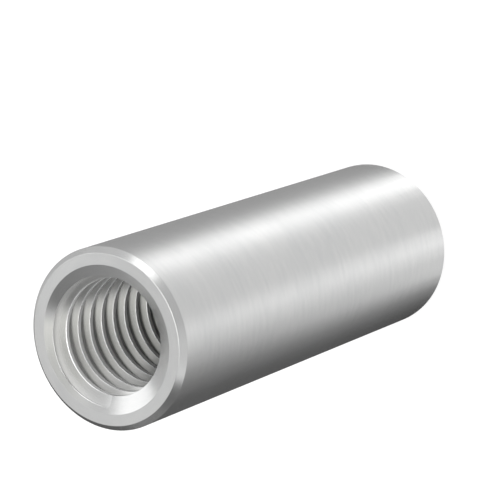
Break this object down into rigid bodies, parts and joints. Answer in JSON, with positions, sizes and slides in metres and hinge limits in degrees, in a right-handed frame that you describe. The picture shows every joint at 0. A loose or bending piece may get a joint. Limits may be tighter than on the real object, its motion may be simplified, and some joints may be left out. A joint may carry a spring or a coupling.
{
  "type": "coupling nut",
  "caption": "Round steel sleeve, tapped from end to end, that joins two threaded rods end to end. Chamfered rims and countersunk mouths.",
  "frame": {"origin": "middle of the end face that the nut stands on, on the thread's axis", "axes": "+Z along the thread's axis, up towards the other end face; +X and +Y square to it"},
  "size_m": [0.016, 0.016, 0.046],
  "materials": {
    "zinc_plated_steel": "bright zinc plating over a fine turned surface"
  },
  "bodies": {
    "root": {"coupling_nut": "zinc_plated_steel"}
  },
  "joints": []
}
